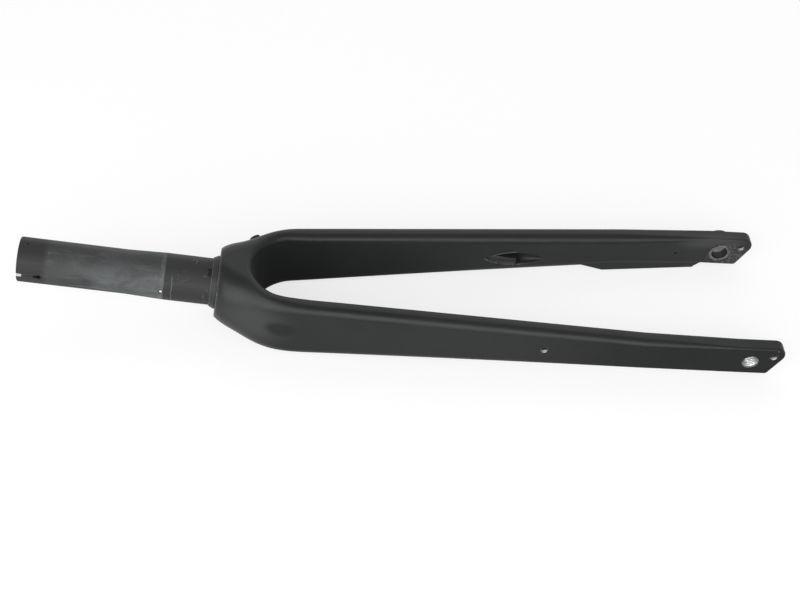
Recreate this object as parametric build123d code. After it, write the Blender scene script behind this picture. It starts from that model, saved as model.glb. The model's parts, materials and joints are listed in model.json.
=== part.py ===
from build123d import *
import os
from math import asin, atan2, cos, hypot, pi, radians, sin, tan

# A rigid disc-brake bicycle fork in moulded carbon, lying on its back as it comes to rest.
# It is drawn in its own frame: X to the rider's right, Y forward and Z up the steerer, with
# the origin at the centre of the crown's top edge. A drop is a distance below that edge.
# Sizes are in millimetres and angles in degrees.

# Steerer tube
steerer_length = 139.0
steerer_diameter = 31.8
steerer_bore = 25.4
seat_diameter = 33.8
seat_height = 37.0
seat_taper = 28.0
steerer_end_chamfer = 0.6
socket_depth = 18.0
slot_width = 2.3
slot_length = 15.6
slot_stop_diameter = 3.6
pin_hole_diameter = 1.4
pin_hole_from_end = 6.0
notch_width = 6.0
notch_height = 2.8
notch_depth = 1.2
notch_turn = 22.0

# Crown race
race_diameter = 38.4
race_height = 4.8
race_foot = 1.4
race_top_wall = 0.5
race_split = 1.2

# Crown and legs
crown_diameter = 49.6
crown_roundness = 0.998
crown_edge_round = 0.6
shoulder_drop = 62.0
shoulder_width = 86.4
shoulder_front = 27.0
shoulder_depth = 47.3
shoulder_corner = 6.0
leg_corner = 5.5
leg_waist = 0.9
outer_knee_drop = 315.0
outer_knee_reach = 20.0
taper_end_drop = 350.0
leg_end_drop = 300.0
arch_drop = 25.8
arch_radius = 28.3
arch_edge_round = 6.0
crown_steps = 4
leg_steps = 12

# Axle and dropouts
axle_drop = 377.0
rake = 46.6
hub_width = 100.0
dropout_thickness = 10.6
dropout_start_drop = 366.0
dropout_front = 13.6
dropout_rear = 12.5
dropout_edge_round = 1.8
tip_reach = 19.2
tip_angle = 20.0
tip_front_round = 7.0
tip_rear_round = 3.0
axle_boss_diameter = 22.5
axle_boss_height = 3.0
axle_boss_round = 0.6

# Axle inserts
axle_insert_diameter = 16.0
axle_insert_proud = 0.4
axle_skin = 1.2
axle_hole_diameter = 12.1
axle_hole_mouth = 12.8
axle_thread_diameter = 10.5
axle_thread_mouth = 11.4

# Small threaded inserts
insert_diameter = 6.6
insert_thread_diameter = 4.2
insert_length = 9.0
fender_forward = 7.3
fender_below = 14.8
leg_boss_drop = 231.0

# Brake mount pad on the back of the left leg
pad_top_drop = 291.0
pad_bottom_drop = 361.0
pad_top_height = 4.5
pad_bottom_height = 5.3
pad_top_ramp = 12.0
pad_bottom_ramp = 6.0
pad_side_inset = 0.4
pad_edge_round = 1.5
pad_end_round = 4.0
pad_knee_round = 60.0
mount_spacing = 70.0

# Brake hose ports in the left leg
exit_drop = 219.5
exit_offset = -3.4
exit_length = 47.0
exit_width = 12.0
exit_lift = 0.5
cowl_sink = 3.2
hose_diameter = 5.4
hose_channel = 30.0
hose_tilt = 12.0
entry_drop = 23.6
entry_turn = 25.0
entry_tilt = 30.0
entry_diameter = 7.8
entry_proud = 1.3
entry_seat_depth = 5.4
entry_channel = 10.4
entry_lip_round = 0.7
vent_drop = 343.0
vent_offset = -1.9
vent_diameter = 1.8
vent_depth = 3.0

# Play left round each bonded or pressed piece
bond_gap = 0.05

# Values worked out from the sizes above
crown_radius = crown_diameter / 2
shoulder_half = shoulder_width / 2
dropout_inner = hub_width / 2 + axle_insert_proud
dropout_outer = dropout_inner + dropout_thickness
dropout_depth = dropout_front + dropout_rear
axle_insert_length = axle_insert_proud + dropout_thickness - axle_skin
lean = (rake + dropout_front - shoulder_front) / (axle_drop - shoulder_drop)
flare = (dropout_outer - shoulder_half) / (outer_knee_drop - shoulder_drop)
across = Vector(1, 0, 0)
up_leg = Vector(0, -rake, axle_drop).normalized()
axle_point = Vector(0, rake, -axle_drop)
beyond = 2 * dropout_outer


def blend(start, end, share):
    """Value part of the way from start to end."""
    return start + (end - start) * share


def front_at(drop):
    """Forward reach of the straight front edge of the legs."""
    return shoulder_front + lean * (drop - shoulder_drop)


def depth_at(drop):
    """Depth of a leg from its front edge to its rear edge."""
    share = min((drop - shoulder_drop) / (taper_end_drop - shoulder_drop), 1)
    return blend(shoulder_depth, dropout_depth, share) - leg_waist * sin(pi * share)


def rear_at(drop):
    """Forward reach of the rear edge of the legs."""
    return front_at(drop) - depth_at(drop)


def middle_at(drop):
    """Forward reach of the middle of a leg's side."""
    return (front_at(drop) + rear_at(drop)) / 2


def half_width_at(drop):
    """Distance from the wheel plane to the outer face of a leg, eased in round the knee."""
    short_of_knee = max(outer_knee_drop + outer_knee_reach - drop, 0)
    eased = min(short_of_knee, 2 * outer_knee_reach)
    return dropout_outer - flare * (eased**2 / (4 * outer_knee_reach) + short_of_knee - eased)


def crown_outline(drop):
    """Half width, front, rear and corner radius of the crown at a drop above the shoulders."""
    share = drop / shoulder_drop
    swell = sin(share * pi / 2) ** 1.15
    settle = sin(pi * min(share, 0.5)) ** 2
    rear_slope = (rear_at(leg_end_drop) - rear_at(shoulder_drop)) / (leg_end_drop - shoulder_drop)
    rear_line = rear_at(shoulder_drop) - rear_slope * (shoulder_drop - drop)
    half_width = blend(crown_radius, shoulder_half, swell)
    front = blend(crown_radius, shoulder_front, share**1.5)
    rear = blend(-crown_radius, rear_line, settle)
    corner = blend(crown_roundness * crown_radius, shoulder_corner, swell)
    return half_width, front, rear, corner


def leg_outline(drop):
    """Half width, front, rear and corner radius of the block that holds both legs."""
    corner = blend(shoulder_corner, leg_corner, (drop - shoulder_drop) / (leg_end_drop - shoulder_drop))
    return half_width_at(drop), front_at(drop), rear_at(drop), corner


def level_section(drop, half_width, front, rear, corner):
    """Rounded rectangle at a drop below the crown's top edge."""
    outline = RectangleRounded(2 * half_width, front - rear, corner)
    return Pos(0, (front + rear) / 2, -drop) * outline


# The inner faces of the legs run straight from the arch's circle to the dropouts. They are
# drawn in the plane that holds the axle and the crown's centre, square to the wheel's axis.
wheel_plane = Plane(origin=(0, 0, 0), x_dir=across, z_dir=across.cross(up_leg))
arch_centre_drop = arch_drop + arch_radius
knee_below_arch = dropout_start_drop - arch_centre_drop
inner_slope = tan(
    atan2(dropout_inner, knee_below_arch)
    - asin(arch_radius / hypot(dropout_inner, knee_below_arch))
)


def inner_at(forward, drop):
    """Distance from the wheel plane to the inner face of a leg."""
    along = Vector(0, forward, -drop).dot(up_leg)
    return dropout_inner - inner_slope * max(along + dropout_start_drop, 0)


def inner_plane(offset, drop):
    """Plane on the left leg's inner face, facing the wheel, with its X down the leg."""
    forward = middle_at(drop) + offset
    point = (-inner_at(forward, drop), forward, -drop)
    return Plane(origin=point, x_dir=-up_leg - across * inner_slope, z_dir=across - up_leg * inner_slope)


def side_plane(side, point, tilt=0.0):
    """Plane at a point, facing out on the given side and tilted up by a slope."""
    return Plane(origin=point, x_dir=(0, 1, 0), z_dir=(side, 0, tilt))


def bushing(plane, outer_diameter, hole_diameter, length):
    """Round bush that starts on a plane and runs against the plane's direction."""
    ring = Circle(outer_diameter / 2) - Circle(hole_diameter / 2)
    return extrude(plane * ring, amount=-length)


def drill(plane, diameter, depth, above=1.0):
    """Round hole that starts above a plane and runs against the plane's direction."""
    return extrude(plane.offset(above) * Circle(diameter / 2), amount=-depth - above)


def spindle(length, width):
    """Body pointed at both ends and round across, lying along X."""
    side = ThreePointArc((-length / 2, 0), (0, width / 2), (length / 2, 0))
    return revolve(Plane.XZ * make_face([side, Line(side @ 1, side @ 0)]), Axis.X)


def dropout(side, leg_end):
    """Dropout plate on one side, with the short stretch that grows out of the leg's end."""
    tip_plane = Vector(0, sin(radians(tip_angle)), cos(radians(tip_angle)))
    tip_low = axle_point - tip_plane * tip_reach
    tip_slope = -tan(radians(tip_angle))

    def tip_corner(top_forward):
        """Corner where the tip's slanted end meets the front or the rear edge."""
        top_above = -dropout_start_drop - tip_low.Z - tip_slope * (top_forward - tip_low.Y)
        rise = top_above / (1 + tip_slope * lean)
        return (top_forward + lean * rise, -dropout_start_drop - rise)

    front_top = front_at(dropout_start_drop)
    rear_top = front_top - dropout_depth
    corners = [
        (front_top, -dropout_start_drop),
        tip_corner(front_top),
        tip_corner(rear_top),
        (rear_top, -dropout_start_drop),
    ]
    face = make_face(Polyline(*corners, close=True))
    face = fillet(face.vertices().sort_by_distance(corners[1])[0], tip_front_round)
    face = fillet(face.vertices().sort_by_distance(corners[2])[0], tip_rear_round)
    inner_face = Plane(origin=(side * dropout_inner, 0, 0), x_dir=(0, 1, 0), z_dir=(1, 0, 0))
    plate = extrude(inner_face * face, amount=side * dropout_thickness)
    plate = fillet(plate.edges() - plate.faces().sort_by(Axis.Z)[-1].edges(), dropout_edge_round)
    neck = loft([leg_end, plate.faces().sort_by(Axis.Z)[-1]], ruled=True)
    return plate + neck


def brake_pad():
    """Raised mount behind the left leg, flush with the leg's sides and sloped at both ends."""
    root = leg_corner
    top_end = pad_top_drop - pad_top_ramp * (1 + root / pad_top_height)
    bottom_end = pad_bottom_drop + pad_bottom_ramp * (1 + root / pad_bottom_height)
    profile = make_face(
        Polyline(
            (rear_at(top_end) + root, -top_end),
            pad_corners[0],
            pad_corners[1],
            (rear_at(bottom_end) + root, -bottom_end),
            close=True,
        )
    )
    rear_corners = [profile.vertices().sort_by_distance(corner)[0] for corner in pad_corners]
    profile = fillet(rear_corners, pad_end_round)
    outer_side = [
        (pad_side_inset - half_width_at(top_end), -top_end),
        (pad_side_inset - half_width_at(leg_end_drop), -leg_end_drop),
        (pad_side_inset - dropout_outer, -bottom_end),
    ]
    inner_side = [
        (-pad_side_inset - inner_at(rear_at(drop), drop), -drop)
        for drop in (bottom_end, dropout_start_drop, top_end)
    ]
    plan = make_face(Polyline(*outer_side, *inner_side, close=True))
    knees = [plan.vertices().sort_by_distance(side[1])[0] for side in (outer_side, inner_side)]
    plan = fillet(knees, pad_knee_round)
    pad = extrude(Plane.XZ * plan, amount=beyond, both=True)
    pad &= extrude(Plane.YZ * profile, amount=beyond, both=True)
    root_edges = pad.faces().sort_by(Axis.Y)[-1].edges()
    long_edges = pad.edges().filter_by(Axis.X, reverse=True) - root_edges
    return fillet(long_edges, pad_edge_round)


# Crown and legs: one block from the crown's circle down to both legs, with the wheel gap cut out
sections = [
    level_section(drop, *crown_outline(drop))
    for drop in (shoulder_drop * step / crown_steps for step in range(crown_steps))
]
sections += [
    level_section(drop, *leg_outline(drop))
    for drop in (blend(shoulder_drop, leg_end_drop, step / leg_steps) for step in range(leg_steps + 1))
]
block = loft(sections)
arch = Pos(0, -arch_centre_drop) * Circle(arch_radius)
hub_slot = Pos(0, -dropout_start_drop - beyond / 2) * Rectangle(2 * dropout_inner, beyond)
wheel_gap = extrude(
    wheel_plane * make_hull(arch.edges() + hub_slot.edges()), amount=beyond, both=True
)
crown_and_legs = block - wheel_gap
gap_edges = new_edges(block, wheel_gap, combined=crown_and_legs)
leg_end_edges = crown_and_legs.faces().sort_by(Axis.Z)[:2].edges()
crown_and_legs = fillet(gap_edges - leg_end_edges, arch_edge_round)
for leg_end in crown_and_legs.faces().sort_by(Axis.Z)[:2]:
    crown_and_legs += dropout(1 if leg_end.center().X > 0 else -1, leg_end)
crown_and_legs = fillet(crown_and_legs.faces().sort_by(Axis.Z)[-1].edges(), crown_edge_round)

# Brake mount pad, and the plane of its rear face half-way between the two mount bolts
pad_corners = [
    (rear_at(pad_top_drop) - pad_top_height, -pad_top_drop),
    (rear_at(pad_bottom_drop) - pad_bottom_height, -pad_bottom_drop),
]
pad_run = (Vector(0, *pad_corners[1]) - Vector(0, *pad_corners[0])).normalized()
pad_middle_drop = (pad_top_drop + pad_bottom_drop) / 2
pad_across = (half_width_at(pad_middle_drop) + inner_at(rear_at(pad_middle_drop), pad_middle_drop)) / 2
pad_centre = (Vector(0, *pad_corners[0]) + Vector(0, *pad_corners[1])) / 2 - across * pad_across
pad_plane = Plane(origin=pad_centre, x_dir=pad_run, z_dir=pad_run.cross(across))
crown_and_legs += brake_pad()

# Steerer tube: its swollen seat is bonded in the crown's socket
crown_top = Plane.XY
steerer_radius = steerer_diameter / 2
seat_radius = seat_diameter / 2
steerer_profile = Polyline(
    (steerer_bore / 2, -socket_depth),
    (seat_radius, -socket_depth),
    (seat_radius, seat_height),
    (steerer_radius, seat_height + seat_taper),
    (steerer_radius, steerer_length - steerer_end_chamfer),
    (steerer_radius - steerer_end_chamfer, steerer_length),
    (steerer_bore / 2, steerer_length),
    close=True,
)
steerer_tube = revolve(Plane.XZ * make_face(steerer_profile), Axis.Z)
slot_end = Vector(steerer_radius, 0, steerer_length - slot_length)
steerer_tube -= Pos(slot_end) * Box(
    steerer_diameter, slot_width, 2 * slot_length, align=(Align.CENTER, Align.CENTER, Align.MIN)
)
steerer_tube -= drill(side_plane(1, slot_end), slot_stop_diameter, steerer_radius)
pin_point = (0, steerer_radius, steerer_length - pin_hole_from_end)
steerer_tube -= drill(Plane(origin=pin_point, z_dir=(0, 1, 0)), pin_hole_diameter, steerer_radius)
notch = Box(
    notch_width, 2 * notch_depth, notch_height, align=(Align.CENTER, Align.CENTER, Align.MIN)
)
steerer_tube -= Rot(0, 0, -notch_turn) * Pos(0, seat_radius, race_height) * notch
crown_and_legs -= drill(crown_top, seat_diameter + 2 * bond_gap, socket_depth)

# Crown race: split conical ring that sits on the crown's top edge round the seat
race_bore = seat_radius + bond_gap
race_profile = Polyline(
    (race_bore, 0),
    (race_diameter / 2, 0),
    (race_diameter / 2, race_foot),
    (race_bore + race_top_wall, race_height),
    (race_bore, race_height),
    close=True,
)
crown_race = revolve(Plane.XZ * make_face(race_profile), Axis.Z)
crown_race -= Pos(0, -race_diameter / 2, 0) * Box(race_split, race_diameter, 4 * race_height)

# Pieces bonded or pressed into the moulding, each with the seat that it is made for
pieces = {"steerer_tube": steerer_tube, "crown_race": crown_race}

# Axle bushes: threaded on the right, plain on the left, where the axle's head meets a boss
boss_plane = side_plane(-1, axle_point - across * dropout_outer)
boss = extrude(boss_plane * Circle(axle_boss_diameter / 2), amount=axle_boss_height)
boss = fillet(boss.faces().sort_by(Axis.X)[0].edges(), axle_boss_round)
crown_and_legs += boss
for name, side, hole_diameter, mouth_diameter in (
    ("axle_insert_right", 1, axle_thread_diameter, axle_thread_mouth),
    ("axle_insert_left", -1, axle_hole_diameter, axle_hole_mouth),
):
    hub_face = side_plane(-side, axle_point + across * side * hub_width / 2)
    pieces[name] = bushing(hub_face, axle_insert_diameter, hole_diameter, axle_insert_length)
    crown_and_legs -= drill(hub_face, axle_insert_diameter + 2 * bond_gap, axle_insert_length)
    crown_and_legs -= drill(hub_face, mouth_diameter, dropout_outer)

# Fender eyelets below the axle and bosses half-way down the legs' outer faces
for name, side in (("right", 1), ("left", -1)):
    eyelet_point = axle_point + Vector(side * dropout_outer, fender_forward, -fender_below)
    eyelet = side_plane(side, eyelet_point)
    pieces["fender_insert_" + name] = bushing(
        eyelet, insert_diameter, insert_thread_diameter, dropout_thickness
    )
    crown_and_legs -= drill(eyelet, insert_diameter + 2 * bond_gap, 2 * dropout_thickness)
    boss_point = (side * half_width_at(leg_boss_drop), middle_at(leg_boss_drop), -leg_boss_drop)
    leg_face = side_plane(side, boss_point, flare)
    pieces["leg_boss_" + name] = bushing(
        leg_face, insert_diameter, insert_thread_diameter, insert_length
    )
    crown_and_legs -= drill(leg_face, insert_diameter + 2 * bond_gap, insert_length)

# Brake mount inserts, square to the pad's rear face
for name, way in (("upper", -1), ("lower", 1)):
    mount_plane = Plane(pad_plane.origin + pad_run * way * mount_spacing / 2, pad_run, pad_plane.z_dir)
    pieces["mount_insert_" + name] = bushing(
        mount_plane, insert_diameter, insert_thread_diameter, insert_length
    )
    crown_and_legs -= drill(mount_plane, insert_diameter + 2 * bond_gap, insert_length)

# Hose exit: a boat-shaped port on the left leg's inner face, its upper half filled by a cowl
exit_plane = inner_plane(exit_offset, exit_drop).offset(exit_lift)
port = spindle(exit_length, exit_width)
cowl = spindle(exit_length - 2 * bond_gap, exit_width - 2 * bond_gap)
cowl &= Pos(0, 0, -cowl_sink) * port
cowl &= Pos(-exit_length / 2, 0, 0) * Box(exit_length, exit_length, exit_length)
hose_way = Plane(
    origin=(0, 0, -cowl_sink / 2),
    z_dir=(cos(radians(hose_tilt)), 0, sin(radians(hose_tilt))),
)
hose_hole = drill(hose_way, hose_diameter, hose_channel)
pieces["hose_exit_grommet"] = exit_plane * (cowl - hose_hole)
crown_and_legs -= exit_plane * port
crown_and_legs -= exit_plane * hose_hole

# Hose entry: a round grommet on the rounded front corner of the left shoulder
entry_width, entry_front, _, entry_corner = crown_outline(entry_drop)
entry_side = Vector(-cos(radians(entry_turn)), sin(radians(entry_turn)), 0)
entry_centre = Vector(entry_corner - entry_width, entry_front - entry_corner, -entry_drop)
entry_plane = Plane(
    origin=entry_centre + entry_side * entry_corner,
    z_dir=entry_side * cos(radians(entry_tilt)) + Vector(0, 0, sin(radians(entry_tilt))),
)
entry_grommet = bushing(
    entry_plane.offset(entry_proud), entry_diameter, hose_diameter, entry_proud + entry_seat_depth
)
lip_face = entry_grommet.faces().sort_by(Axis(entry_plane.origin, entry_plane.z_dir))[-1]
pieces["hose_entry_grommet"] = fillet(lip_face.outer_wire().edges(), entry_lip_round)
crown_and_legs -= drill(entry_plane, entry_diameter + 2 * bond_gap, entry_seat_depth, entry_diameter)
crown_and_legs -= drill(entry_plane, hose_diameter, entry_channel)

# Vent hole low on the left leg's inner face
crown_and_legs -= drill(inner_plane(vent_offset, vent_drop), vent_diameter, vent_depth)
pieces["crown_and_legs"] = crown_and_legs

# The fork lies on the back of its crown and on the lower end of the brake pad
rest_drop = shoulder_drop / 2
rest_rear = crown_outline(rest_drop)[2]
tilt = atan2(pad_corners[1][0] - rest_rear, pad_bottom_drop - rest_drop)
floor = Plane(origin=(0, 0, 0), x_dir=(0, sin(tilt), -cos(tilt)), z_dir=(0, cos(tilt), sin(tilt)))
lying = {name: floor.location.inverse() * piece for name, piece in pieces.items()}
box = Compound(list(lying.values())).bounding_box()
ground = Pos(-box.center().X, -box.center().Y, -box.min.Z)

os.makedirs("parts", exist_ok=True)
for name, piece in lying.items():
    export_step(ground * piece, f"parts/{name}.step")
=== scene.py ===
import json
import math
from typing import NamedTuple

import bmesh
import bpy
from mathutils import Matrix, Vector


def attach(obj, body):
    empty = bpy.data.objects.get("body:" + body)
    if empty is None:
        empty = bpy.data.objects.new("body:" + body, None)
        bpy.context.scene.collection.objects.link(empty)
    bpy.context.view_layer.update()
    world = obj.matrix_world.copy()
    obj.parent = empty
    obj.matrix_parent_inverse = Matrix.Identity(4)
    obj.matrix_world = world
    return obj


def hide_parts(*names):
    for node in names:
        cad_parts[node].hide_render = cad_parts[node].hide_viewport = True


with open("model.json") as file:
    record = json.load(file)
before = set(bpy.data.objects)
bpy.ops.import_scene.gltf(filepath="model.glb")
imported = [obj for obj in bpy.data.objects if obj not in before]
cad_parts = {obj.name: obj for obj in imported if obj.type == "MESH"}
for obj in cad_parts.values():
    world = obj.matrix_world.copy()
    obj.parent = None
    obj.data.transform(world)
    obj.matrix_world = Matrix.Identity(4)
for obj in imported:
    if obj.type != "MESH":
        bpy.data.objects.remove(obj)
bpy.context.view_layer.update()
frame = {"nodes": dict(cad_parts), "record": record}
nodes = frame["nodes"]
mounts = {mount["name"]: mount for mount in frame["record"]["mounts"]}

# Lengths are in metres, in the frame of the CAD model: X down the legs, Y to the fork's left, Z up.
MM = 0.001


class Thread(NamedTuple):
    """Sizes of a threaded bush; the thread's root lies its depth outside the crest."""

    bush_radius: float
    pitch: float
    depth: float
    chamfer: float
    segments: int


# Camera of the photograph
CAMERA_PLACE = Vector((-0.04267, -0.65384, 0.69662))
CAMERA_LOOK = Vector((0.04557, 0.69000, -0.72237))
CAMERA_ROLL = math.radians(3.2098)
CAMERA_LENS = 57.84
SENSOR_WIDTH = 36.0

# Direction of the dimmer part of the surround: overhead, a little to the far side
DIM_SIDE = (0.0, 0.26, 0.966)

# Bushes: threads, rows of faces in a pitch, and the depth in its bore past which a small bush's thread gets
# painted shade
AXLE_THREAD = Thread(bush_radius=8.0 * MM, pitch=1.5 * MM, depth=0.75 * MM, chamfer=0.35 * MM, segments=64)
SCREW_THREAD = Thread(bush_radius=3.3 * MM, pitch=0.8 * MM, depth=0.3 * MM, chamfer=0.0, segments=40)
THREAD_STEPS = 8
PAINTED_SHADE_DEPTH = 2.0 * MM

# Radii of the axle holes' outer mouths, whose walls are paler as painted light falling into the holes
AXLE_MOUTHS = {"left": 6.45 * MM, "right": 5.75 * MM}

# Boat-shaped rim of the hose port: its middle, its directions and the round of its two sides
PORT_CENTRE = (0.08832, 0.03863, 0.01822)
PORT_WAY = (0.9969, 0.0705, -0.0362)
PORT_RISE = (0.0363, 0.0, 0.9993)
PORT_ROUND = 45.55 * MM
PORT_HALF_WIDTH = 5.98 * MM
LIP_WIDTH = 0.8 * MM

# Gap over the hose port's cowl: height over the port's middle at the mouth, length, and rise to its far end
COWL_GAP_FOOT = 2.9 * MM
COWL_GAP_LENGTH = 15.0 * MM
COWL_GAP_RISE = 0.8 * MM
COWL_SHARP_ANGLE = math.radians(30.0)

# Bands, notch, wall and slot of the steerer; lengths are from its open end and radii from its axis
CUT_BAND = 18.0 * MM
SANDED_BAND = 101.4 * MM
CROWN_RIM = 139.3 * MM
NOTCH_START = 128.0 * MM
NOTCH_RADIUS = 16.8 * MM
WALL_INSIDE = 13.0 * MM
WALL_MIDDLE = 14.0 * MM
SLOT_WIDTH = 2.3 * MM

# Wheel's centre plane, and how far along the legs run the arch's inside, darkened as painted shade and
# duller, and the right leg's painted shade
WHEEL_PLANE = Vector(mounts["steerer"]["pos_m"]) * Vector((0.0, 1.0, 0.0))
ARCH_SHADE_START = -0.08
ARCH_SHADE_END = 0.12
LEG_SHADE_START = 0.05
LEG_SHADE_END = 0.19

# Marks that the photograph shows, as points on the object's surface
SHOULDER_SMUDGE = (-0.0849, -0.0432, 0.0258)
# The next two points centre painted highlights, on the right shoulder and at the left tip
SHOULDER_HIGHLIGHT = (-0.1060, -0.0350, 0.0290)
LEFT_TIP_HIGHLIGHT = (0.2400, 0.0490, 0.0265)
AXLE_WEAR = (0.2545, 0.0489, 0.0120)
# Painted glint at the right dropout's tip
RIGHT_TIP_GLINT = (0.2655, -0.0625, 0.0277)
TUBE_CHIP = (-0.1704, -0.0183, 0.0379)
TUBE_SCRATCH = (-0.1632, -0.0170, 0.0380)
TUBE_SCRIBBLE = (-0.1565, -0.0125, 0.0472)
TUBE_PATCHES = ((-0.2438, -0.0098, 0.0622), (-0.2277, -0.0096, 0.0598))


def mount_place(name):
    """Middle and direction of a mount."""
    return Vector(mounts[name]["pos_m"]), Vector(mounts[name]["axis"]).normalized()


def mount_size(name):
    """Radius and length of a round mount, in metres."""
    dims = mounts[name]["dims"]
    return dims["r_mm"] * MM, dims["length_mm"] * MM


def mount_end(name):
    """Centre of a mount's end, and the direction in which it points."""
    middle, way = mount_place(name)
    return middle + way * mount_size(name)[1] / 2, way


def grey(level, blue=1.0, green=1.0):
    """Near-neutral colour."""
    return (level, level * green, level * blue, 1.0)


class Look:
    """A material's node tree, with short calls for the nodes that it is made of."""

    def __init__(self, name):
        self.material = bpy.data.materials.new(name)
        self.material.use_nodes = True
        self.tree = self.material.node_tree
        self.shader = self.tree.nodes["Principled BSDF"]
        self.place = self.add("ShaderNodeTexCoord").outputs["Object"]

    def add(self, kind, inputs=None, **settings):
        """New node with its settings and inputs; an input is a value or another node's output."""
        node = self.tree.nodes.new(kind)
        for key, value in settings.items():
            setattr(node, key, value)
        for key, value in (inputs or {}).items():
            self.feed(node.inputs[key], value)
        return node

    def feed(self, socket, value):
        """Links an output to an input, or sets the input's own value."""
        if isinstance(value, bpy.types.NodeSocket):
            self.tree.links.new(value, socket)
        else:
            socket.default_value = value

    def set(self, **inputs):
        """Inputs of the shader, with underscores for the spaces in their names."""
        for key, value in inputs.items():
            self.feed(self.shader.inputs[key.replace("_", " ")], value)

    def math(self, operation, first, second=0.0):
        """One value made from one or two."""
        return self.add("ShaderNodeMath", {0: first, 1: second}, operation=operation).outputs[0]

    def times(self, first, *others):
        """Product of the values."""
        for other in others:
            first = self.math("MULTIPLY", first, other)
        return first

    def plus(self, first, second):
        """Sum of two values."""
        return self.math("ADD", first, second)

    def minus(self, first, second):
        """First value less the second."""
        return self.math("SUBTRACT", first, second)

    def most(self, first, second):
        """Larger of two values."""
        return self.math("MAXIMUM", first, second)

    def vector(self, operation, first, second, output="Vector"):
        """Vector, or the output that is named, made from two vectors."""
        return self.add("ShaderNodeVectorMath", {0: first, 1: second}, operation=operation).outputs[output]

    def length(self, vector):
        """Length of a vector."""
        return self.add("ShaderNodeVectorMath", {0: vector}, operation="LENGTH").outputs["Value"]

    def parts(self, vector):
        """Outputs X, Y and Z of a vector."""
        return self.add("ShaderNodeSeparateXYZ", {0: vector}).outputs

    def normal(self):
        """Direction in which the surface faces."""
        return self.add("ShaderNodeNewGeometry").outputs["Normal"]

    def along(self, start, direction):
        """Distance of the shaded point along a direction from a start point."""
        offset = self.vector("SUBTRACT", self.place, tuple(start))
        return self.vector("DOT_PRODUCT", offset, tuple(direction), "Value")

    def away(self, centre, squeeze=(1.0, 1.0, 1.0)):
        """Distance of the shaded point from a centre, with each axis squeezed."""
        offset = self.vector("SUBTRACT", self.place, tuple(centre))
        return self.length(self.vector("MULTIPLY", offset, squeeze))

    def noise(self, scale, detail=3.0, roughness=0.5, place=None, distortion=0.0):
        """Noise value, centred on a half, with scale in cycles per metre."""
        inputs = {
            "Vector": place or self.place,
            "Scale": scale,
            "Detail": detail,
            "Roughness": roughness,
            "Distortion": distortion,
        }
        return self.add("ShaderNodeTexNoise", inputs).outputs["Fac"]

    def specks(self, cells, size, share):
        """Few small round spots: 1 inside a spot and 0 outside."""
        cell = self.add("ShaderNodeTexVoronoi", {"Vector": self.place, "Scale": cells, "Randomness": 1.0})
        spot = self.step(cell.outputs["Distance"], size, size * 0.6)
        chance = self.add("ShaderNodeSeparateColor", {0: cell.outputs["Color"]}).outputs[0]
        return self.times(spot, self.math("LESS_THAN", chance, share))

    def step(self, value, low, high, start=0.0, end=1.0):
        """Smooth change from start to end as the value goes from low to high."""
        inputs = {"Value": value, "From Min": low, "From Max": high, "To Min": start, "To Max": end}
        return self.add("ShaderNodeMapRange", inputs, interpolation_type="SMOOTHSTEP").outputs["Result"]

    def mix(self, share, first, second):
        """Colour between the first and the second."""
        return self.add("ShaderNodeMix", {"Factor": share, 6: first, 7: second}, data_type="RGBA").outputs[2]

    def lay(self, tone, colour, share, strength):
        """Tone with a colour laid over a share of it, at a strength."""
        return self.mix(self.times(share, strength), tone, colour)

    def edges(self, radius):
        """How sharply the surface turns within a radius, from 0 on a flat face."""
        bevelled = self.add("ShaderNodeBevel", {"Radius": radius}, samples=6).outputs["Normal"]
        return self.minus(1.0, self.vector("DOT_PRODUCT", bevelled, self.normal(), "Value"))

    def bump(self, height, distance, strength):
        """Surface relief from a height value."""
        inputs = {"Height": height, "Distance": distance, "Strength": strength}
        self.set(Normal=self.add("ShaderNodeBump", inputs).outputs["Normal"])


def arch_faces(look):
    """Share of a face that looks into the wheel gap near the crown, darkened there as painted shade and left
    duller.
    """
    place = look.parts(look.vector("SUBTRACT", look.place, tuple(WHEEL_PLANE)))
    facing = look.parts(look.normal())
    inward = look.most(look.times(look.math("SIGN", place["Y"]), look.times(facing["Y"], -1.0)), 0.0)
    down_legs = look.most(facing["X"], 0.0)
    into_gap = look.plus(look.times(inward, inward), look.times(down_legs, down_legs))
    return look.times(look.step(into_gap, 0.6, 0.95), look.step(place["X"], ARCH_SHADE_END, ARCH_SHADE_START))


def port_faces(look):
    """Share of the hose port's surroundings, and of its hollow."""
    mouth, _ = mount_end("hose_exit")
    _, into_leg = mount_place("leg_boss_left")
    near = look.step(look.away(mouth, (0.35, 1.0, 1.0)), 10.0 * MM, 8.5 * MM)
    sunk = look.step(look.along(mouth, into_leg), -0.9 * MM, -0.5 * MM)
    sheltered = look.step(look.along(mouth, (1.0, 0.0, 0.0)), 13.0 * MM, 1.0 * MM)
    return near, look.times(near, sunk, sheltered)


def port_lip_highlights(look):
    """Share of the port's rim that gets a painted highlight, as a raised lip would catch light: the upper
    beside the cowl, the lower in ragged patches.
    """
    forth = look.along(PORT_CENTRE, PORT_WAY)
    rise = look.along(PORT_CENTRE, PORT_RISE)
    reach = look.plus(look.math("ABSOLUTE", rise), PORT_ROUND - PORT_HALF_WIDTH)
    from_centre = look.math("SQRT", look.plus(look.times(forth, forth), look.times(reach, reach)))
    outside = look.minus(from_centre, PORT_ROUND)
    band = look.times(
        look.step(outside, -0.4 * MM, 0.0), look.step(outside, LIP_WIDTH + 0.3 * MM, LIP_WIDTH - 0.1 * MM)
    )
    upper = look.times(look.step(forth, 1.0 * MM, -0.5 * MM), look.step(forth, -21.0 * MM, -13.0 * MM))
    ragged = look.step(look.noise(520.0, 3.0, 0.7), 0.38, 0.55)
    lower = look.times(look.step(forth, 16.0 * MM, 2.0 * MM), ragged)
    on_top = look.math("GREATER_THAN", rise, 0.0)
    share = look.plus(look.times(on_top, upper), look.times(look.minus(1.0, on_top), lower))
    return look.times(band, share)


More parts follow.
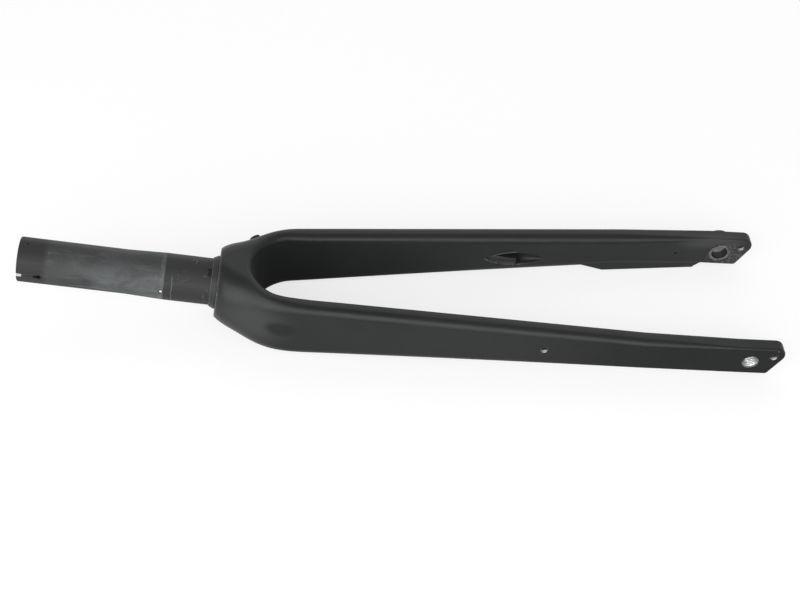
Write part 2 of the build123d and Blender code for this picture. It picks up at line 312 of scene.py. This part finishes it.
def leg_shade(look):
    """Share of the right leg's outer side towards its tip, darkened there as painted shade and made duller.
    """
    down_leg = look.step(look.along(WHEEL_PLANE, (1.0, 0.0, 0.0)), LEG_SHADE_START, LEG_SHADE_END)
    right = look.step(look.along(WHEEL_PLANE, (0.0, -1.0, 0.0)), 5.0 * MM, 20.0 * MM)
    outward = look.step(look.parts(look.normal())["Y"], -0.85, -0.97)
    return look.times(down_leg, right, outward)


def painted(name="satin_black_paint"):
    """Satin black paint on the moulding, with soft tone changes, fine grain, specks, worn edges, and painted
    shade and highlights.
    """
    look = Look(name)
    cloud = look.noise(14.0, 4.0, 0.55)
    grain = look.noise(900.0, 2.0, 0.6)
    patch = look.noise(620.0, 5.0, 0.7)
    streak = look.noise(420.0, 3.0, 0.6, look.vector("MULTIPLY", look.place, (0.12, 1.0, 1.0)))
    near_port, shaded_port_hollow = port_faces(look)
    # The arch's inside and the port's hollow are darkened as painted shade, and made rougher
    painted_shade_and_dull = look.most(arch_faces(look), shaded_port_hollow)
    shade = leg_shade(look)

    # Plain paint: clouds, dust in streaks, and painted shade on the arch's inside and the port's hollow
    tone = look.mix(look.step(cloud, 0.35, 0.65), grey(0.0052, 1.08, 1.05), grey(0.0080, 1.04, 1.02))
    dust = look.times(look.step(streak, 0.55, 0.8), look.step(cloud, 0.4, 0.7))
    tone = look.lay(tone, grey(0.05, 1.02, 1.01), dust, 0.14)
    tone = look.lay(tone, grey(0.002), painted_shade_and_dull, 0.8)

    # Painted highlights on the right shoulder, round its smudge, and at the left tip; then painted shade on
    # the right leg's outer side
    smudge = look.step(look.away(SHOULDER_SMUDGE, (0.75, 1.0, 1.3)), 12.0 * MM, 5.0 * MM)
    painted_highlight = look.step(look.away(SHOULDER_HIGHLIGHT, (0.75, 1.0, 1.0)), 29.0 * MM, 6.0 * MM)
    painted_highlight = look.times(painted_highlight, look.minus(1.0, smudge))
    painted_highlight = look.most(painted_highlight, look.step(look.away(LEFT_TIP_HIGHLIGHT, (0.35, 1.0, 1.5)), 12.0 * MM, 3.0 * MM))
    tone = look.lay(tone, grey(0.05), painted_highlight, 0.5)
    tone = look.lay(tone, grey(0.002), shade, 0.8)

    # Wear on the left dropout, the edges and in chipped specks; a pale line at the crown's rim; painted
    # highlights on the port's lips and edges, and a painted glint at the right tip
    rub = look.step(look.away(AXLE_WEAR, (0.8, 1.0, 1.0)), 16.0 * MM, 8.0 * MM)
    rub = look.times(rub, look.step(patch, 0.44, 0.62))
    tone = look.lay(tone, grey(0.11), rub, 0.75)
    # Pale edges are wear, but near the port they are a painted highlight
    wear_and_port_highlight_places = look.most(look.step(look.noise(160.0), 0.42, 0.62), near_port)
    worn = look.times(look.step(look.edges(0.7 * MM), 0.06, 0.28), wear_and_port_highlight_places)
    tone = look.lay(tone, grey(0.11, 1.02, 1.01), worn, 0.45)
    tube_end, way = mount_end("steerer_bore")
    from_rim = look.math("ABSOLUTE", look.minus(look.along(tube_end, -way), CROWN_RIM))
    rim = look.times(look.step(from_rim, 0.9 * MM, 0.3 * MM), look.step(patch, 0.36, 0.56))
    tone = look.lay(tone, grey(0.13, 1.02, 1.01), rim, 0.25)
    # Painted highlight on the port's lips
    tone = look.lay(tone, grey(0.11), look.times(port_lip_highlights(look), near_port), 0.7)
    # Painted glint at the right dropout's tip, laid on with the chipped specks
    tip_glint = look.times(look.step(look.away(RIGHT_TIP_GLINT), 0.9 * MM, 0.5 * MM), 0.5)
    tone = look.lay(tone, grey(0.2), look.most(look.specks(55.0, 0.045, 0.03), tip_glint), 0.6)
    # Painted light: the walls of the axle holes' outer mouths are paler, for the light falling in
    for side, mouth in AXLE_MOUTHS.items():
        axle, _ = mount_place("axle_" + side)
        outward = look.along(axle, (0.0, math.copysign(1.0, axle.y), 0.0))
        lit_mouth = look.step(look.away(axle, (1.0, 0.0, 1.0)), mouth + 0.1 * MM, mouth)
        tone = look.mix(look.times(lit_mouth, look.math("GREATER_THAN", outward, 0.0)), tone, grey(0.24))

    roughness = look.step(look.noise(26.0, 4.0, 0.6), 0.3, 0.7, 0.36, 0.45)
    roughness = look.plus(roughness, look.times(painted_shade_and_dull, 0.5))
    roughness = look.plus(roughness, look.times(look.most(rub, smudge), 0.3))
    roughness = look.plus(roughness, look.times(shade, 0.36))
    look.set(Base_Color=tone, Roughness=roughness)
    look.set(Specular_IOR_Level=0.30, Specular_Tint=(0.955, 1.0, 0.995, 1.0))
    look.bump(look.plus(look.times(grain, 0.5), look.times(streak, 0.35)), 0.03 * MM, 0.3)
    return look.material


def sanded_tube(name="bare_sanded_tube"):
    """Bare steerer: a dark end, a band sanded to uneven streaky grey, and a dark scratched collar."""
    look = Look(name)
    end, way = mount_end("steerer_bore")
    side = way.cross(Vector((0, 0, 1))).normalized()
    from_end = look.along(end, -way)
    across = look.along(end, side)
    above = look.along(end, side.cross(way))
    wrapped = look.add("ShaderNodeCombineXYZ", {"X": from_end, "Y": across, "Z": above}).outputs[0]
    from_axis = look.length(look.vector("MULTIPLY", wrapped, (0.0, 1.0, 1.0)))

    def stretched(lengthways, sideways=1.0):
        """Place on the tube for a noise, squeezed so that its marks run along the tube or round it."""
        return look.vector("MULTIPLY", wrapped, (lengthways, sideways, sideways))

    streaks = look.noise(230.0, 5.0, 0.66, stretched(0.10), 0.5)
    fine = look.noise(900.0, 3.0, 0.6, stretched(0.06))
    patches = look.noise(62.0, 5.0, 0.62, stretched(0.42), 0.8)
    mottle = look.noise(340.0, 4.0, 0.7, stretched(0.5))
    scuffs = look.noise(240.0, 3.0, 0.6, stretched(1.0, 0.2), 1.2)

    # Bands along the tube, with uneven borders
    border = look.plus(from_end, look.times(look.minus(mottle, 0.5), 1.6 * MM))
    collar = look.step(border, SANDED_BAND - 0.4 * MM, SANDED_BAND + 0.4 * MM)
    past_cut = look.step(border, CUT_BAND - 1.5 * MM, CUT_BAND + 3.5 * MM)
    sanded = look.times(past_cut, look.minus(1.0, collar))

    # Sanded band: pale patches, streaks both ways, smears, a darker top and dark flecks low on its side
    depth = look.times(look.step(patches, 0.34, 0.64), look.step(from_end, CUT_BAND, 65.0 * MM, 0.4, 1.0))
    pale = look.mix(depth, grey(0.023, 1.06, 1.05), grey(0.074, 1.10, 1.08))
    pale = look.lay(pale, grey(0.12, 1.06, 1.04), look.step(streaks, 0.52, 0.74), 0.6)
    pale = look.lay(pale, grey(0.024, 1.05, 1.04), look.step(streaks, 0.44, 0.28), 0.7)
    pale = look.lay(pale, grey(0.15, 1.03, 1.02), look.step(mottle, 0.58, 0.70), 0.35)
    for place in TUBE_PATCHES:
        smear = look.times(look.step(look.away(place), 9.0 * MM, 3.0 * MM), look.step(mottle, 0.4, 0.6))
        pale = look.lay(pale, grey(0.14, 1.02, 1.01), smear, 0.5)
    darker_top = look.times(look.step(above, 3.0 * MM, 13.0 * MM), look.step(streaks, 0.3, 0.7, 0.75, 0.4))
    pale = look.mix(darker_top, pale, grey(0.030, 1.09, 1.07))
    pale = look.mix(look.step(from_end, CUT_BAND, 70.0 * MM, 0.5, 0.0), pale, grey(0.022, 1.05, 1.04))
    flecks = look.times(look.step(above, -5.0 * MM, -10.0 * MM), look.step(streaks, 0.48, 0.38))
    pale = look.lay(pale, grey(0.014, 1.04, 1.03), flecks, 0.8)

    # Whole tube: bands, a paler far side and a seam before the collar
    dark = look.mix(streaks, grey(0.009, 1.02, 1.01), grey(0.019, 1.03, 1.02))
    tone = look.mix(sanded, dark, pale)
    far_side = look.times(look.step(across, 0.5 * MM, 6.0 * MM), look.step(sanded, 0.0, 1.0, 0.28, 0.55))
    tone = look.mix(far_side, tone, grey(0.085, 1.06, 1.04))
    seam = look.times(look.step(border, SANDED_BAND - 3.4 * MM, SANDED_BAND - 2.0 * MM), sanded)
    tone = look.lay(tone, grey(0.13, 1.02), seam, look.step(mottle, 0.3, 0.7, 0.05, 0.45))

    # Scuffs, a scribble and a scratch on the collar, and specks and a chip
    scribble = look.times(
        look.step(look.noise(430.0, 3.0, 0.6, distortion=2.0), 0.56, 0.66),
        look.step(look.away(TUBE_SCRIBBLE, (0.7, 1.0, 1.4)), 8.0 * MM, 2.0 * MM),
    )
    marks = look.times(look.most(look.step(scuffs, 0.64, 0.72), scribble), collar, 0.4)
    wobble = look.times(look.minus(streaks, 0.5), 3.0 * MM)
    from_scratch = look.math("ABSOLUTE", look.plus(look.along(TUBE_SCRATCH, -way), wobble))
    scratch = look.times(
        look.step(from_scratch, 0.42 * MM, 0.12 * MM), look.step(look.away(TUBE_SCRATCH), 12.0 * MM, 9.0 * MM)
    )
    tone = look.mix(look.most(marks, look.times(scratch, 0.55)), tone, grey(0.13, 1.02))
    tone = look.lay(tone, grey(0.2), look.specks(150.0, 0.1, 0.14), 0.4)
    tone = look.lay(tone, grey(0.008), look.specks(110.0, 0.12, 0.1), 0.7)
    tone = look.lay(tone, grey(0.02), look.step(look.away(TUBE_CHIP), 2.4 * MM, 1.4 * MM), 0.6)
    tone = look.mix(look.step(look.away(TUBE_CHIP), 1.0 * MM, 0.6 * MM), tone, grey(0.75))

    # Painted shade in the notch and the bore, and the slot's walls, white at its mouth as painted light seen
    # through it
    shaded_notch = look.times(
        look.step(from_axis, NOTCH_RADIUS, NOTCH_RADIUS - 0.3 * MM),
        look.math("GREATER_THAN", from_end, NOTCH_START),
    )
    shaded_bore = look.step(from_axis, WALL_MIDDLE + 0.5 * MM, WALL_MIDDLE - 0.5 * MM)
    tone = look.lay(tone, grey(0.004), look.most(shaded_notch, shaded_bore), 0.9)
    slot_wall = SLOT_WIDTH / 2 + 0.1 * MM
    in_slot = look.times(
        look.step(look.math("ABSOLUTE", above), slot_wall + 0.05 * MM, slot_wall - 0.05 * MM),
        look.step(from_axis, WALL_INSIDE - 0.2 * MM, WALL_INSIDE + 0.2 * MM),
        look.math("LESS_THAN", across, 0.0),
    )
    # The slot's walls: grey streaks, and white near the mouth as painted light seen through the slot
    slot_face_with_painted_light = look.mix(streaks, grey(0.02), grey(0.14))
    slot_face_with_painted_light = look.mix(look.step(from_end, 4.0 * MM, 3.2 * MM), slot_face_with_painted_light, grey(0.80))
    tone = look.lay(tone, slot_face_with_painted_light, in_slot, look.step(from_end, 12.5 * MM, 11.0 * MM))

    look.set(Base_Color=tone, Roughness=look.step(streaks, 0.3, 0.7, 0.56, 0.7), Specular_IOR_Level=0.36)
    look.bump(look.plus(look.times(fine, 0.5), look.times(streaks, 0.5)), 0.05 * MM, 0.5)
    return look.material


def race_metal(name="blacked_race"):
    """Blacked ring with bright edges in patches."""
    look = Look(name)
    rub = look.times(look.step(look.edges(0.8 * MM), 0.02, 0.16), look.step(look.noise(300.0, 3.0), 0.2, 0.5))
    tone = look.mix(look.noise(500.0, 4.0, 0.6), grey(0.010), grey(0.022))
    look.set(Base_Color=look.lay(tone, grey(0.30), rub, 0.8))
    look.set(Roughness=look.step(look.noise(700.0, 3.0), 0.3, 0.7, 0.42, 0.56), Specular_IOR_Level=0.35)
    look.bump(look.noise(1500.0, 2.0), 0.02 * MM, 0.4)
    return look.material


def bare_aluminium(name, clean, dirty):
    """Turned aluminium with grey dirt."""
    look = Look(name)
    dirt = look.step(look.noise(700.0, 4.0, 0.65), 0.46, 0.68)
    look.set(Base_Color=look.mix(dirt, grey(clean, 1.01), grey(dirty, 0.98)), Metallic=1.0)
    look.set(Roughness=look.step(look.noise(1200.0, 3.0), 0.3, 0.7, 0.28, 0.45))
    look.bump(look.noise(2600.0, 2.0), 0.01 * MM, 0.4)
    return look.material


def rubbed_aluminium(name="rubbed_aluminium"):
    """Axle bush: a dark bore, paler towards its outer end as painted light falling in, and a rim rubbed to
    grey patches.
    """
    look = Look(name)
    centre, way = mount_place("axle_left")
    radius, length = mount_size("axle_left")
    from_axis = look.away(centre, tuple(1.0 - abs(c) for c in way))
    rim = look.step(from_axis, radius + 0.1 * MM, radius + 0.3 * MM)
    patch = look.noise(520.0, 5.0, 0.7)
    inner_edge = look.times(look.step(from_axis, radius + 1.1 * MM, radius + 0.3 * MM), 0.7)
    bright = look.most(look.step(patch, 0.42, 0.62), inner_edge)
    worn_paint = look.mix(bright, grey(0.018), grey(0.17))
    # Painted light: the bore gets paler towards its outer end
    outward = look.plus(look.along(centre, way), look.times(patch, 1.5 * MM))
    bore = look.mix(look.step(outward, length * 0.25, length * 0.42), grey(0.014), grey(0.26))
    look.set(Base_Color=look.mix(rim, bore, worn_paint))
    look.set(Roughness=look.step(look.noise(900.0, 3.0), 0.3, 0.7, 0.45, 0.65), Specular_IOR_Level=0.4)
    look.bump(patch, 0.05 * MM, 0.5)
    return look.material


def soft_rubber(name="grommet_rubber"):
    """Matte black rubber with a faint grain and greyer edges."""
    look = Look(name)
    edge = look.step(look.edges(0.4 * MM), 0.05, 0.3)
    tone = look.mix(look.noise(260.0, 3.0), grey(0.007), grey(0.012))
    look.set(Base_Color=look.lay(tone, grey(0.12), edge, 0.6))
    look.set(Roughness=look.step(look.noise(800.0, 3.0), 0.3, 0.7, 0.48, 0.62), Specular_IOR_Level=0.36)
    look.bump(look.noise(1300.0, 2.0), 0.03 * MM, 0.4)
    return look.material


def mesh_data(name, mesh, materials):
    """Mesh data block of an edit mesh, which is freed, with its materials."""
    bmesh.ops.recalc_face_normals(mesh, faces=mesh.faces[:])
    data = bpy.data.meshes.new(name)
    mesh.to_mesh(data)
    mesh.free()
    for material in materials:
        data.materials.append(material)
    return data


def threaded_bush(name, node, mount, thread, materials):
    """Bush with a cut thread in place of a CAD node's plain hole.

    Its materials are those of the bore near its ends, of the end faces and of the bore's inside, which for
    the small bushes is painted shade.
    """
    centre, way = mount_place(mount)
    crest, length = mount_size(mount)
    rows = round(length / thread.pitch * THREAD_STEPS)
    turn = 2 * math.pi / thread.segments

    def thread_radius(height, angle):
        """Radius of the bore: crest at the thread's top, root half a pitch away, chamfered at both ends."""
        phase = (height / thread.pitch - angle / (2 * math.pi)) % 1.0
        cut = crest + thread.depth * (1.0 - min(abs(2.0 * phase - 1.0) * 1.25, 1.0))
        lead_in = crest + thread.depth + thread.chamfer - min(height, length - height)
        return max(cut, lead_in)

    mesh = bmesh.new()
    angles = [turn * i for i in range(thread.segments)]
    heights = [length * row / rows for row in range(rows + 1)]
    rings = [[(thread_radius(height, angle), height, angle) for angle in angles] for height in heights]
    rings += [[(thread.bush_radius, height, angle) for angle in angles] for height in (length, 0.0)]
    made = [
        [mesh.verts.new((r * math.cos(a), r * math.sin(a), h - length / 2)) for r, h, a in ring]
        for ring in rings
    ]
    for index, ring in enumerate(made):
        following = made[(index + 1) % len(made)]
        depth_in = min(index, rows - index) * length / rows
        for i in range(thread.segments):
            after = (i + 1) % thread.segments
            face = mesh.faces.new((ring[i], ring[after], following[after], following[i]))
            # Rows deeper than the shade depth take the inside material, painted shade in the small bushes
            face.material_index = 1 if index in (rows, rows + 2) else 2 if depth_in > PAINTED_SHADE_DEPTH else 0
            face.smooth = index < rows
    data = mesh_data(name, mesh, materials)
    data.transform(Matrix.Translation(centre) @ way.to_track_quat("Z", "Y").to_matrix().to_4x4())
    bush = bpy.data.objects.new(name, data)
    bpy.context.scene.collection.objects.link(bush)
    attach(bush, "root")
    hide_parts(node)


def opened_cowl(name, node, material):
    """Cowl of the hose port with its upper corner cut away, for a gap under the port's upper lip."""
    mouth, _ = mount_end("hose_exit")
    slope = Vector((-COWL_GAP_LENGTH, 0.0, COWL_GAP_RISE))
    mesh = bmesh.new()
    mesh.from_mesh(nodes[node].data)
    bmesh.ops.remove_doubles(mesh, verts=mesh.verts[:], dist=0.001 * MM)
    bmesh.ops.bisect_plane(
        mesh,
        geom=mesh.verts[:] + mesh.edges[:] + mesh.faces[:],
        plane_co=mouth + Vector((0.0, 0.0, COWL_GAP_FOOT)),
        plane_no=Vector((0.0, 1.0, 0.0)).cross(slope),
        clear_outer=True,
    )
    bmesh.ops.holes_fill(mesh, edges=[edge for edge in mesh.edges if edge.is_boundary])
    data = mesh_data(name, mesh, [material])
    data.shade_smooth()
    data.set_sharp_from_angle(angle=COWL_SHARP_ANGLE)
    cowl = bpy.data.objects.new(name, data)
    bpy.context.scene.collection.objects.link(cowl)
    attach(cowl, "root")
    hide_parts(node)


def dress(node, material):
    """Gives a CAD node its material."""
    data = nodes[node].data
    data.materials.clear()
    data.materials.append(material)


paint = painted()
axle_metal = bare_aluminium("turned_aluminium", 0.48, 0.20)
screw_metal = bare_aluminium("dulled_aluminium", 0.38, 0.12)
# Near-black metal for the small bushes' deep threads: painted shade inside their bores
shaded_thread_metal = bare_aluminium("painted_shade_thread", 0.05, 0.015)
rubber = soft_rubber()
dress("crown_and_legs", paint)
dress("steerer_tube", sanded_tube())
dress("crown_race", race_metal())
dress("axle_insert_left", rubbed_aluminium())
dress("hose_entry_grommet", rubber)
opened_cowl("hose_cowl", "hose_exit_grommet", rubber)
threaded_bush("axle_thread_right", "axle_insert_right", "axle_right", AXLE_THREAD, (axle_metal,) * 3)
for bush_name, bush_node, bush_mount in (
    ("fender_thread_right", "fender_insert_right", "fender_right"),
    ("fender_thread_left", "fender_insert_left", "fender_left"),
    ("leg_thread_right", "leg_boss_right", "leg_boss_right"),
    ("leg_thread_left", "leg_boss_left", "leg_boss_left"),
    ("brake_thread_upper", "mount_insert_upper", "brake_upper"),
    ("brake_thread_lower", "mount_insert_lower", "brake_lower"),
):
    threaded_bush(bush_name, bush_node, bush_mount, SCREW_THREAD, (screw_metal, paint, shaded_thread_metal))


def white_for_viewer(tree, lit, seen):
    """Joins two shaders: one that lights the scene, and one that the camera and reflections see."""
    path = tree.nodes.new("ShaderNodeLightPath")
    share = path.outputs["Is Camera Ray"]
    for ray in ("Is Glossy Ray", "Is Transmission Ray"):
        either = tree.nodes.new("ShaderNodeMath")
        either.operation = "MAXIMUM"
        tree.links.new(share, either.inputs[0])
        tree.links.new(path.outputs[ray], either.inputs[1])
        share = either.outputs[0]
    mix = tree.nodes.new("ShaderNodeMixShader")
    tree.links.new(share, mix.inputs[0])
    tree.links.new(lit, mix.inputs[1])
    tree.links.new(seen, mix.inputs[2])
    return mix.outputs[0]


def studio_floor():
    """Plain white floor with the object's shadow, much fainter where it is seen than where it lights."""
    bpy.ops.mesh.primitive_plane_add(size=30.0, location=(0, 0, 0))
    floor = bpy.context.object
    floor.name = "floor"
    material = bpy.data.materials.new("white_floor")
    material.use_nodes = True
    tree = material.node_tree
    tree.nodes.remove(tree.nodes["Principled BSDF"])
    lit = tree.nodes.new("ShaderNodeBsdfDiffuse")
    lit.inputs["Color"].default_value = grey(0.80)
    glow = tree.nodes.new("ShaderNodeEmission")
    glow.inputs["Strength"].default_value = 0.72
    shadowed = tree.nodes.new("ShaderNodeBsdfDiffuse")
    shadowed.inputs["Color"].default_value = grey(0.30)
    seen = tree.nodes.new("ShaderNodeAddShader")
    tree.links.new(glow.outputs[0], seen.inputs[0])
    tree.links.new(shadowed.outputs[0], seen.inputs[1])
    shader = white_for_viewer(tree, lit.outputs[0], seen.outputs[0])
    tree.links.new(shader, tree.nodes["Material Output"].inputs["Surface"])
    floor.data.materials.append(material)


def studio_world():
    """Soft white surround that is dimmer overhead, as in a room lit from its sides."""
    world = bpy.data.worlds.new("studio")
    bpy.context.scene.world = world
    world.use_nodes = True
    tree = world.node_tree
    direction = tree.nodes.new("ShaderNodeTexCoord").outputs["Generated"]
    toward = tree.nodes.new("ShaderNodeVectorMath")
    toward.operation = "DOT_PRODUCT"
    tree.links.new(direction, toward.inputs[0])
    toward.inputs[1].default_value = DIM_SIDE

    def sky(level, dim):
        """Background that falls from a level to a dim one overhead."""
        fall = tree.nodes.new("ShaderNodeMapRange")
        fall.interpolation_type = "SMOOTHSTEP"
        tree.links.new(toward.outputs["Value"], fall.inputs["Value"])
        for key, value in (("From Min", 0.80), ("From Max", 0.97), ("To Min", level), ("To Max", dim)):
            fall.inputs[key].default_value = value
        background = tree.nodes.new("ShaderNodeBackground")
        tree.links.new(fall.outputs["Result"], background.inputs["Strength"])
        return background.outputs[0]

    tree.nodes.remove(tree.nodes["Background"])
    shader = white_for_viewer(tree, sky(0.60, 0.42), sky(1.0, 0.7))
    tree.links.new(shader, tree.nodes["World Output"].inputs["Surface"])


def softbox(name, place, width, height, power):
    """Soft lamp that faces the origin."""
    data = bpy.data.lights.new(name, "AREA")
    data.shape = "RECTANGLE"
    data.size = width
    data.size_y = height
    data.energy = power
    lamp = bpy.data.objects.new(name, data)
    lamp.location = place
    lamp.rotation_mode = "QUATERNION"
    lamp.rotation_quaternion = (-Vector(place)).to_track_quat("-Z", "Y")
    bpy.context.scene.collection.objects.link(lamp)


def photo_camera():
    """Camera at the photograph's viewpoint."""
    data = bpy.data.cameras.new("photo_camera")
    data.sensor_width = SENSOR_WIDTH
    data.lens = CAMERA_LENS
    data.clip_start = 0.01
    data.clip_end = 60.0
    camera = bpy.data.objects.new("photo_camera", data)
    camera.location = CAMERA_PLACE
    camera.rotation_mode = "QUATERNION"
    aim = CAMERA_LOOK.to_track_quat("-Z", "Y")
    camera.rotation_quaternion = aim @ Matrix.Rotation(CAMERA_ROLL, 3, "Z").to_quaternion()
    bpy.context.scene.collection.objects.link(camera)
    bpy.context.scene.camera = camera


studio_floor()
studio_world()
softbox("key", (-0.35, -1.35, 0.7), 3.0, 1.5, 40.0)
softbox("fill", (0.2, 1.2, 1.1), 1.8, 1.4, 5.5)
photo_camera()
bpy.context.scene.view_settings.view_transform = "Standard"
